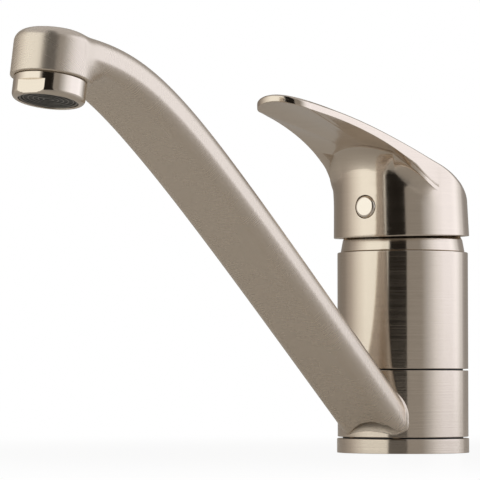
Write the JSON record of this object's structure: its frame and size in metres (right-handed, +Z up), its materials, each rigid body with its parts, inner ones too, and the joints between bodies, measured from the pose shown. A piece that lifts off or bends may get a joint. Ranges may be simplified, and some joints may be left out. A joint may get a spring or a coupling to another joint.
{
  "type": "kitchen mixer tap",
  "caption": "Single-lever kitchen mixer tap with a slanting swivel spout, round column body, flat-bladed lever and aerator, in brushed nickel.",
  "frame": {"origin": "centre of the foot on the sink deck", "axes": "+Z up along the column, the spout and lever point along -Y, +X to the user's right facing the wall"},
  "size_m": [0.052, 0.2541, 0.1416],
  "materials": {
    "nickel_satin": "brushed nickel plate, satin, warm",
    "nickel_bright": "polished nickel plate",
    "brass": "machined brass",
    "rubber": "moulded black rubber",
    "dark_plastic": "moulded dark acetal",
    "white_plastic": "moulded white plastic",
    "grey_plastic": "moulded grey plastic",
    "steel": "plain stainless steel",
    "ceramic": "lapped alumina"
  },
  "bodies": {
    "column": {"base_ring": "nickel_satin", "base_gasket": "rubber", "core": "brass", "lower_washer": "dark_plastic", "upper_washer": "dark_plastic", "swivel_seals": "rubber", "body": "nickel_satin", "port_seals": "rubber", "cartridge_base": "white_plastic", "cartridge_housing": "white_plastic", "fixed_disc": "ceramic", "cartridge_nut": "brass", "dome_cover": "nickel_satin"},
    "spout": {"collar": "nickel_satin", "arm": "nickel_satin", "aerator_washer": "rubber", "aerator_cage": "dark_plastic", "aerator_screen": "steel", "aerator_housing": "nickel_bright"},
    "guide": {"stem_guide": "grey_plastic", "pivot_pin": "steel"},
    "lever": {"stem": "steel", "handle": "nickel_satin", "grub_screw": "steel", "index_button": "nickel_bright"},
    "slider": {"moving_disc": "ceramic", "disc_carrier": "grey_plastic"}
  },
  "joints": [
    {"name": "spout_swivel", "type": "hinge", "parent": "column", "child": "spout", "pos_m": [0, 0, 0.018], "axis": [0, 0, 1], "continuous": true},
    {"name": "temperature", "type": "hinge", "parent": "column", "child": "guide", "pos_m": [0, 0, 0.066], "axis": [0, 0, 1], "range_deg": [-50, 50]},
    {"name": "lift", "type": "hinge", "parent": "guide", "child": "lever", "pos_m": [0, 0, 0.066], "axis": [-1, 0, 0], "range_deg": [0, 25]},
    {"name": "disc_slide", "type": "slide", "parent": "guide", "child": "slider", "axis": [0, -1, 0], "range_m": [0, 0.0039]}
  ],
  "couplings": [
    {"joint": "disc_slide", "follows": "lift", "m_per_rad": 0.008929}
  ]
}
